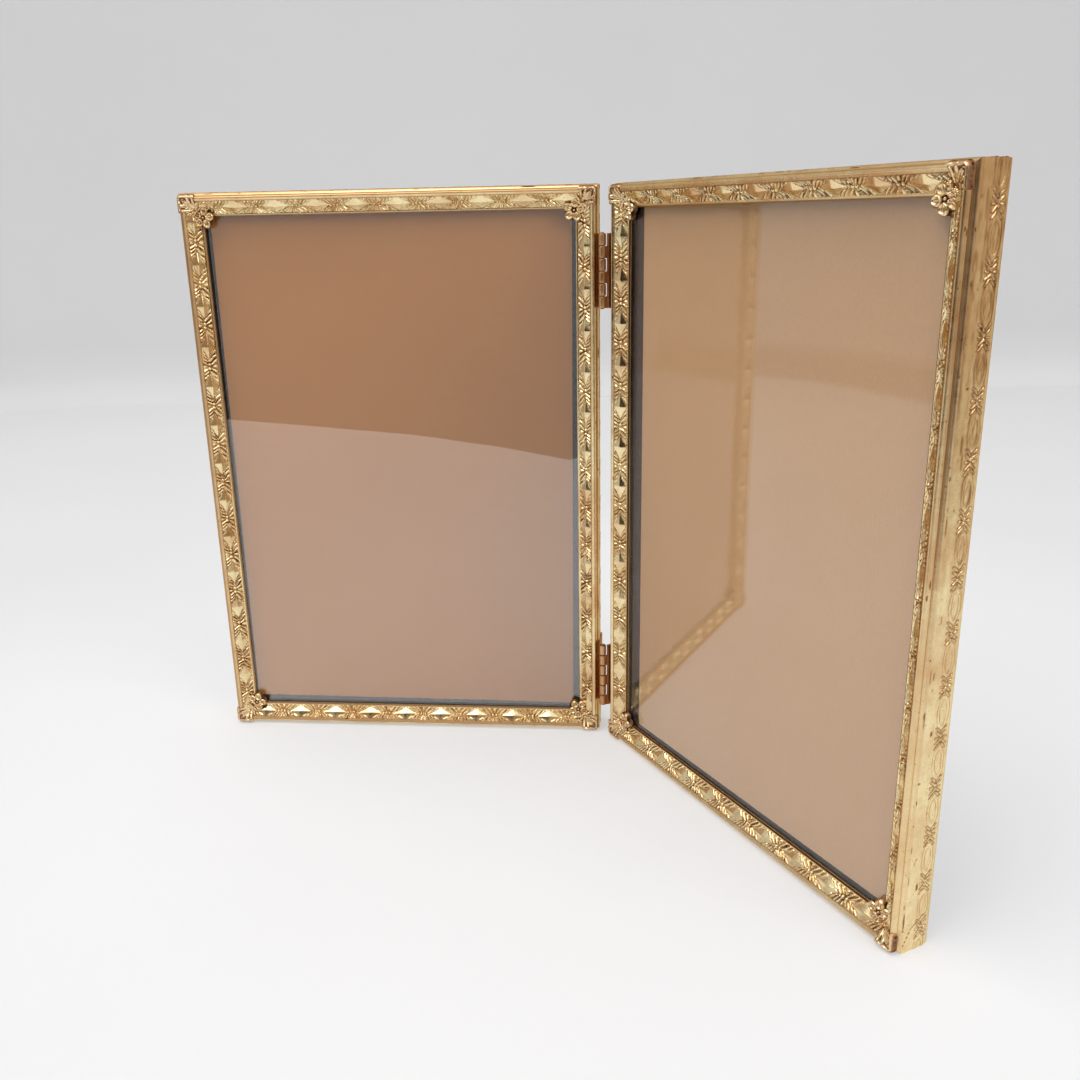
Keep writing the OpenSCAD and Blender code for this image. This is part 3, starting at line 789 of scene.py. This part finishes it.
def flower(casting):
    """Five cupped petals with raised rims, and a ring of beads round the middle."""
    centre = 7.65
    petals = 5
    r, t = np.meshgrid(np.linspace(0.0, 1, 44), np.linspace(0, 2 * pi, 161), indexing="ij")
    turn = t - pi / 4 - 0.16 * casting.seed
    outline = 3.45 - 0.95 * (1 - np.abs(np.cos(petals * turn / 2))) ** 1.3
    far = r * outline
    x = centre + far * np.cos(t)
    z = centre + far * np.sin(t)
    off = (turn + pi / petals) % (2 * pi / petals) - pi / petals
    out = far * np.cos(off)
    aside = far * np.sin(off)
    ring = np.hypot((out - 2.10) / 1.36, aside / 1.24)
    cup = 0.20 + 0.50 * np.exp(-((ring - 0.74) / 0.25) ** 2) - 0.45 * np.clip(ring - 0.92, 0, 1)
    cup += 0.16 * np.exp(-(aside / 0.20) ** 2) * smooth_step((3.3 - out) / 1.0)
    cup -= 0.16 * np.clip(out - 2.4, 0, 1)
    height = np.where(ring < 1.35, cup, 0.02)
    for k in range(6):
        at = (1.05 * cos(pi * k / 3 + 0.3), 1.05 * sin(pi * k / 3 + 0.3))
        height = np.maximum(height, bead(x - centre, z - centre, at, 0.40, 0.66))
    height = np.maximum(height, bead(x - centre, z - centre, (0, 0), 0.46, 0.80))
    height += 0.18 * (value_noise(x * 1.6 + 5 * casting.seed, z * 1.6, 23) - 0.5)
    front = 2.18 - 0.9 * height - 0.10 * casting.seed * (x - centre) / 3
    # Painted shade round and between the petals; patina in the petal cups and between the beads.
    patina_and_shade = np.clip((ring - 0.98) / 0.14, 0, 1)
    patina_and_shade = np.maximum(patina_and_shade, np.clip(1.5 * (0.62 - ring), 0, 0.50) * (np.abs(aside) > 0.14))
    middle = np.hypot(x - centre, z - centre)
    patina_and_shade = np.where(middle < 1.4, np.clip(1.35 - 2.0 * height, 0, 1), patina_and_shade)
    casting.shell(x, z, front, np.full(x.shape, 3.55), patina_and_shade)


def neck(casting):
    """Four small scrolls, two on each side, that tie the flower to the leaf."""
    for swap in (False, True):
        for course, base in (
            ([(4.4, 7.6), (5.0, 6.2), (6.2, 5.4)], 2.0),
            ([(3.6, 6.9), (4.4, 6.0), (5.4, 5.8)], 1.6),
        ):
            scroll(casting, course, base, swap)


def scroll(casting, course, base, swap):
    """A tapering curved roll laid along three points."""
    (x0, z0), (x1, z1), (x2, z2) = course
    p, q = np.meshgrid(np.linspace(0, 1, 26), np.linspace(-1, 1, 13), indexing="ij")
    mid_x = (1 - p) ** 2 * x0 + 2 * p * (1 - p) * x1 + p ** 2 * x2
    mid_z = (1 - p) ** 2 * z0 + 2 * p * (1 - p) * z1 + p ** 2 * z2
    run_x = np.gradient(mid_x, axis=0)
    run_z = np.gradient(mid_z, axis=0)
    size = np.hypot(run_x, run_z)
    half = 0.50 * np.sin(pi * (0.12 + 0.80 * p)) ** 0.6
    x = mid_x - run_z / size * q * half
    z = mid_z + run_x / size * q * half
    front = base - 0.75 * np.sqrt(np.clip(1 - q ** 2, 0, 1)) + 0.10 * np.cos(14 * p)
    patina_and_shade = np.clip((np.abs(q) - 0.72) / 0.28, 0, 1) * 0.6
    if swap:
        x, z = z, x
    bed = bed_depth(np.minimum(np.minimum(x, z), 7.2))
    front = np.minimum(front, bed - 0.1)
    casting.shell(x, z, front, np.minimum(bed + 0.25, 3.6), patina_and_shade)


def ornament(side, place, seed):
    """One cast corner. seed makes it a little unlike the others."""
    casting = Casting(side, place, seed)
    corner_leaf(casting)
    neck(casting)
    flower(casting)
    casting.finish(f"{side}_{place}_casting", f"{side}_{place}", CAST)


def pane(side):
    """Glass with its edges ground off."""
    low = 4.0
    high = PANEL_W - low
    top = PANEL_H - low
    front, back = 4.03, 5.95
    ground = 0.35
    rings = [(ground, front), (0, front + ground), (0, back - ground), (ground, back)]
    points = []
    for inset, depth in rings:
        for x, z in ((low, low), (high, low), (high, top), (low, top)):
            in_x = inset if x == low else -inset
            in_z = inset if z == low else -inset
            points.append((x + in_x, depth, z + in_z))
    points = np.array(points)
    row = to_row(side, points[:, 0], points[:, 1], points[:, 2])
    faces = grid_faces(4, 4, close_columns=True)
    faces += [[0, 1, 2, 3], [15, 14, 13, 12]]
    piece = make_piece(
        f"{side}_glass_pane", row, faces, f"{side}_panel", PANE[side], crease=20,
    )
    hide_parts(f"{side}_glass")


def card(side, out, up, lean, frayed, seed):
    """Kraft card standing loose behind the glass, its middle out and up from the panel's.

    lean is how far it is tilted, and frayed is how ragged its bottom edge is.
    """
    width, height = 117.5, 173.5
    front, back = 6.02, 6.76
    steps = 240
    rng = np.random.default_rng(seed)
    corners = [(-1, -1), (1, -1), (1, 1), (-1, 1)]
    inward = [(0, 1), (-1, 0), (0, -1), (1, 0)]
    uneven = [frayed, 0.03, 0.05, 0.03]
    flat = []
    for k, (corner_x, corner_z) in enumerate(corners):
        next_x, next_z = corners[(k + 1) % 4]
        wander = np.abs(rng.normal(0, 1, steps))
        for i in range(steps):
            t = i / steps
            cut = wander[i] * uneven[k] * min(1, 12 * t, 12 * (1 - t))
            x = (corner_x + (next_x - corner_x) * t) * width / 2 + cut * inward[k][0]
            z = (corner_z + (next_z - corner_z) * t) * height / 2 + cut * inward[k][1]
            flat.append((x * cos(lean) - z * sin(lean), x * sin(lean) + z * cos(lean)))
    flat = np.array(flat) + (PANEL_W / 2 + out, PANEL_H / 2 + up)
    count = len(flat)
    sheets = [to_row(side, flat[:, 0], np.full(count, depth), flat[:, 1]) for depth in (front, back)]
    faces = [list(range(count)), list(range(2 * count - 1, count - 1, -1))]
    for i in range(count):
        j = (i + 1) % count
        faces.append([i, j, count + j, count + i])
    piece = make_piece(
        f"{side}_kraft_card", np.concatenate(sheets), faces, f"{side}_panel", KRAFT[side],
        crease=30,
    )
    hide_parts(f"{side}_insert_card")


# Hinges: six knuckles each, the first, third and fifth from the top on the left leaf
HINGE_AT = {"upper": 161.0, "lower": 23.0}
KNUCKLES = 6
KNUCKLE_R = 1.15
KNUCKLE_LEN = 3.75
KNUCKLE_STEP = 3.81
PIN_BORE = 0.62
LEAF_T = 0.8
LEAF_START = -0.1
LEAF_BACK = 10.0


def box_shell(low, high):
    """Corner points (across, back, up) and faces of a block."""
    corners = [(x, b, z) for x in (low[0], high[0]) for b in (low[1], high[1]) for z in (low[2], high[2])]
    faces = [[0, 1, 3, 2], [4, 6, 7, 5], [0, 4, 5, 1], [2, 3, 7, 6], [0, 2, 6, 4], [1, 5, 7, 3]]
    return np.array(corners), faces


def barrel_shell(low, high):
    """A knuckle about the pin line: a tube with rounded, slightly worn ends."""
    worn = 0.36
    turns = 36
    start = low + 0.02
    end = [(PIN_BORE, start), (KNUCKLE_R - worn, start)]
    for t in (0.4, 0.8, 1.2, pi / 2):
        end.append((KNUCKLE_R - worn * (1 - sin(t)), start + worn * (1 - cos(t))))
    profile = end + [(radius, low + high - up) for radius, up in reversed(end)]
    # Painted shade: each knuckle darkens towards its ends, at the gaps between the knuckles.
    knuckle_end_shade = [0.9, 0.8, 0.7, 0.5, 0.35, 0.2]
    knuckle_shade = knuckle_end_shade + knuckle_end_shade[::-1]
    points = []
    for k in range(turns):
        turn = 2 * pi * k / turns
        for radius, up in profile:
            points.append((-PIN_ASIDE + radius * cos(turn), -PIN_AHEAD + radius * sin(turn), up))
    count = len(profile)
    faces = []
    for k in range(turns):
        here, after = k * count, (k + 1) % turns * count
        for j in range(count):
            i = (j + 1) % count
            faces.append([here + j, here + i, after + i, after + j])
    return np.array(points), faces, knuckle_shade * turns


def hinge_leaf(side, place, middle):
    """One leaf of a butt hinge: a plate on the side wall and every second knuckle."""
    top = middle + KNUCKLES / 2 * KNUCKLE_LEN + (KNUCKLES - 1) / 2 * (KNUCKLE_STEP - KNUCKLE_LEN)
    bottom = 2 * middle - top
    plate, plate_faces = box_shell((-LEAF_T, LEAF_START, bottom), (-0.01, LEAF_BACK, top))
    shells = [(plate, plate_faces, [0.25] * 8)]
    for i in range(SIDES.index(side), KNUCKLES, 2):
        low = top - i * KNUCKLE_STEP - KNUCKLE_LEN
        high = low + KNUCKLE_LEN
        web, web_faces = box_shell((-LEAF_T, -PIN_AHEAD, low + 0.05), (-0.12, LEAF_START + 0.1, high - 0.05))
        shells.append((web, web_faces, [0.4] * 8))
        shells.append(barrel_shell(low, high))
    points, faces, patina_and_shade = [], [], []
    for shell_points, shell_faces, shell_recess in shells:
        start = len(patina_and_shade)
        points.append(to_row(side, shell_points[:, 0], shell_points[:, 1], shell_points[:, 2]))
        faces += [[start + corner for corner in face] for face in shell_faces]
        patina_and_shade += shell_recess
    piece = make_piece(
        f"{side}_{place}_hinge_plate", np.concatenate(points), faces, f"{side}_panel", HINGE,
        {"patina_and_shade": patina_and_shade}, crease=50,
    )
    worn_edges(piece, 0.10)
    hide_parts(f"{side}_{place}_hinge_leaf")


def soften(name, width, material):
    """Rounds the edges of a CAD node and gives it its material."""
    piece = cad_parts[name]
    piece.data.materials.clear()
    piece.data.materials.append(material)
    worn_edges(piece, width)


def worn_edges(piece, width):
    """Rounds a piece's sharp edges, by a width in millimetres."""
    rounding = piece.modifiers.new("worn_edges", "BEVEL")
    rounding.width = width * 0.001
    rounding.segments = 2
    rounding.limit_method = "ANGLE"
    rounding.angle_limit = radians(40)


def camera():
    """The photograph's viewpoint, fitted to the corners of both panels."""
    yaw, pitch, roll = radians(-33.7611), radians(17.3708), radians(-1.1547)
    forward = Vector((sin(yaw) * cos(pitch), cos(yaw) * cos(pitch), -sin(pitch)))
    right = Vector((cos(yaw), -sin(yaw), 0))
    up = right.cross(forward)
    turned_right = right * cos(roll) + up * sin(roll)
    turned_up = up * cos(roll) - right * sin(roll)
    data = bpy.data.cameras.new("camera")
    data.sensor_width = 36
    data.lens = 34.262
    data.clip_start = 0.01
    data.clip_end = 50
    viewer = in_scene("camera", data)
    rotation = Matrix((turned_right, turned_up, -forward)).transposed().to_4x4()
    position = (0.166932, -0.261188, 0.177108)
    viewer.matrix_world = Matrix.Translation(position) @ rotation
    bpy.context.scene.camera = viewer


# Plan of the white sweep, in metres: where its floor turns up into the wall, and its open front
WALL_PATH = [
    (-0.55, -0.66), (-0.56, -0.45), (-0.575, -0.36), (-0.615, -0.295), (-0.68, -0.262), (-0.75, -0.235),
    (-0.80, -0.18), (-0.84, -0.08),
    (-0.87, 0.10), (-0.87, 0.26), (-0.80, 0.37), (-0.42, 0.62), (0.04, 0.93), (0.60, 1.30), (1.41, 1.84),
]
OPEN_EDGE = [
    (1.41, 1.45), (1.00, 0.85), (0.50, 0.12), (0.62, -0.10), (0.85, -0.42), (0.50, -0.50),
    (0.17, -0.365), (0.14, -0.435),
    (0.093, -0.516), (0.012, -0.613), (-0.038, -0.669), (-0.10, -0.76),
]


def sweep_material():
    """White paper with painted shade that deepens away from the frame, at the foot of the wall and up it,
    and evenly lit where it is seen directly.

    Only in reflections, a painted band: the wall's foot is darker and the wall above it is paler.
    """
    plain = {"Roughness": 0.8, "Specular IOR Level": 0.1, "Emission Color": (1, 0.99, 0.99, 1)}
    material, tree, shader = new_material("white_sweep", plain)
    place = node(tree, "ShaderNodeTexCoord").outputs["Object"]
    tone = ramp(tree, noise(tree, place, 5, 3), 0.3, 0.7, 0.98, 1)
    split = node(tree, "ShaderNodeSeparateXYZ", {0: place})
    far = node(tree, "ShaderNodeVectorMath", {0: place}, operation="LENGTH").outputs["Value"]
    # Painted shade: the sweep darkens away from the frame, at the wall's foot and up the wall, as the light
    # falls off.
    tone = maths(tree, "MULTIPLY", tone, ramp(tree, far, 0.14, 0.36, 1, 0.90))
    tone = maths(tree, "MULTIPLY", tone, ramp(tree, far, 0.36, 0.85, 1, 0.96))
    tone = maths(tree, "MULTIPLY", tone, ramp(tree, split.outputs["Z"], 0, 0.06, 1, 0.88))
    tone = maths(tree, "MULTIPLY", tone, ramp(tree, split.outputs["Z"], 0.09, 0.45, 1, 0.94))
    path = node(tree, "ShaderNodeLightPath")
    # Painted reflection: a darker foot and a paler band above it, seen only by glossy rays.
    foot = ramp(tree, split.outputs["Z"], 0.001, 0.006, 1, 0.50)
    above = ramp(tree, split.outputs["Z"], 0.028, 0.045, 1, 1.75)
    mirrored = mixed(tree, path.outputs["Is Glossy Ray"], (1, 1, 1, 1), maths(tree, "MULTIPLY", foot, above))
    tone = maths(tree, "MULTIPLY", tone, mirrored)
    seen = maths(tree, "MAXIMUM", path.outputs["Is Camera Ray"], path.outputs["Is Transmission Ray"])
    seen = maths(tree, "MAXIMUM", seen, path.outputs["Is Glossy Ray"])
    shown = mixed(tree, tone, (0, 0, 0, 1), (0.54, 0.54, 0.54, 1))
    colour = mixed(tree, seen, linear(230, 229, 230), shown)
    tree.links.new(colour, shader.inputs["Base Color"])
    glow = maths(tree, "MULTIPLY", maths(tree, "MULTIPLY", seen, tone), 0.365)
    tree.links.new(glow, shader.inputs["Emission Strength"])
    return material


def sweep():
    """Floor that curves up into an upright wall at the left and the back, open at the front right."""
    path = np.array(WALL_PATH)
    run = np.gradient(path, axis=0)
    outward = np.stack([-run[:, 1], run[:, 0]], axis=1)
    outward /= np.linalg.norm(outward, axis=1, keepdims=True)
    bend = 0.03
    wall_rise, wall_lean = 2.4, 0.02
    profile = [(bend * sin(t), bend * (1 - cos(t))) for t in np.linspace(0, radians(88), 16)]
    profile.append((profile[-1][0] + wall_lean, profile[-1][1] + wall_rise))
    rings = [np.column_stack([path + outward * out, np.full(len(path), up)]) for out, up in profile]
    edge = np.array([(x, y, 0.0) for x, y in OPEN_EDGE])
    points = np.concatenate(rings + [edge])
    count = len(path)
    faces = grid_faces(len(profile), count)
    first = count * len(profile)
    faces.append(list(range(count)) + list(range(first, first + len(edge))))
    mesh = bpy.data.meshes.new("sweep")
    mesh.from_pydata(points.tolist(), [], faces)
    mesh.polygons.foreach_set("use_smooth", [True] * (len(faces) - 1) + [False])
    mesh.materials.append(sweep_material())
    in_scene("sweep", mesh)


def room():
    """The rest of the room: pale, brownish to the right, with a dark figure that the glasses mirror."""
    world = bpy.data.worlds.new("studio")
    bpy.context.scene.world = world
    world.use_nodes = True
    tree = world.node_tree
    tree.nodes.clear()
    direction = node(tree, "ShaderNodeTexCoord").outputs["Generated"]
    split = node(tree, "ShaderNodeSeparateXYZ", {0: direction})
    height = split.outputs["Z"]
    to_right = ramp(tree, split.outputs["X"], -0.2, 0.5)
    around = mixed(tree, to_right, linear(190, 186, 182), linear(150, 126, 106))
    around = mixed(tree, ramp(tree, split.outputs["Y"], 0.0, 0.5), around, linear(214, 205, 190))
    above = maths(tree, "MULTIPLY", maths(tree, "MAXIMUM", height, 0.0), 3.0)
    flat = node(tree, "ShaderNodeCombineXYZ", {0: split.outputs["X"], 1: split.outputs["Y"], 2: above})
    unit = node(tree, "ShaderNodeVectorMath", {0: flat.outputs["Vector"]}, operation="NORMALIZE")
    body = (unit.outputs["Vector"], (0.05, -0.998, 0.0), 0.80, 0.90)
    head = (direction, (0.26, -0.93, 0.24), 0.955, 0.985)
    for looking, towards, start, end in (body, head):
        near = node(tree, "ShaderNodeVectorMath", {0: looking, 1: towards}, operation="DOT_PRODUCT")
        around = mixed(tree, ramp(tree, near.outputs["Value"], start, end), around, linear(52, 38, 30))
    mirrored = mixed(tree, ramp(tree, height, 0.28, 0.62), around, linear(240, 238, 234))
    wall = mixed(tree, ramp(tree, height, -0.02, 0.30), linear(226, 227, 230), linear(204, 204, 206))
    path = node(tree, "ShaderNodeLightPath")
    colour = mixed(tree, path.outputs["Is Glossy Ray"], linear(206, 206, 208), mirrored)
    shown = maths(tree, "MAXIMUM", path.outputs["Is Camera Ray"], path.outputs["Is Transmission Ray"])
    colour = mixed(tree, shown, colour, wall)
    background = node(tree, "ShaderNodeBackground", {"Color": colour, "Strength": 1.0})
    node(tree, "ShaderNodeOutputWorld", {"Surface": background.outputs["Background"]})


# Soft lamps, as name, place and size in metres, and power in watts
LAMPS = [
    ("soft_box", (-0.35, -0.55, 1.25), 1.2, 11.0),
    ("side_box", (1.1, -0.2, 0.75), 0.7, 3.6),
]


def lamps():
    """A large soft lamp above the front, and a weaker one from the right."""
    for name, at, size, power in LAMPS:
        data = bpy.data.lights.new(name, "AREA")
        data.shape = "SQUARE"
        data.size = size
        data.energy = power
        lamp = in_scene(name, data)
        lamp.location = at
        lamp.rotation_euler = (Vector((0, 0, 0.09)) - Vector(at)).to_track_quat("-Z", "Y").to_euler()


camera()
sweep()
room()
lamps()
bpy.context.scene.view_settings.view_transform = "Standard"
for side in SIDES:
    for place in NODE_OF:
        rail(side, place)
    for seed, corner in enumerate(("top_hinge", "bottom_hinge", "top_outer", "bottom_outer")):
        ornament(side, f"{corner}_ornament", seed if side == "left" else seed + 2)
    pane(side)
    soften(f"{side}_backing_board", 0.15, BOARD)
    soften(f"{side}_button_rivets", 0.06, HINGE)
    for button in ("top", "bottom", "hinge_side", "outer_side"):
        soften(f"{side}_{button}_button", 0.12, PLAIN)
    for place, middle in HINGE_AT.items():
        hinge_leaf(side, place, middle)
card("left", out=0.4, up=2.25, lean=radians(0.4), frayed=0.22, seed=3)
card("right", out=4.0, up=1.7, lean=0.0, frayed=0.03, seed=8)
for place in HINGE_AT:
    soften(f"{place}_hinge_pin", 0.10, PIN)
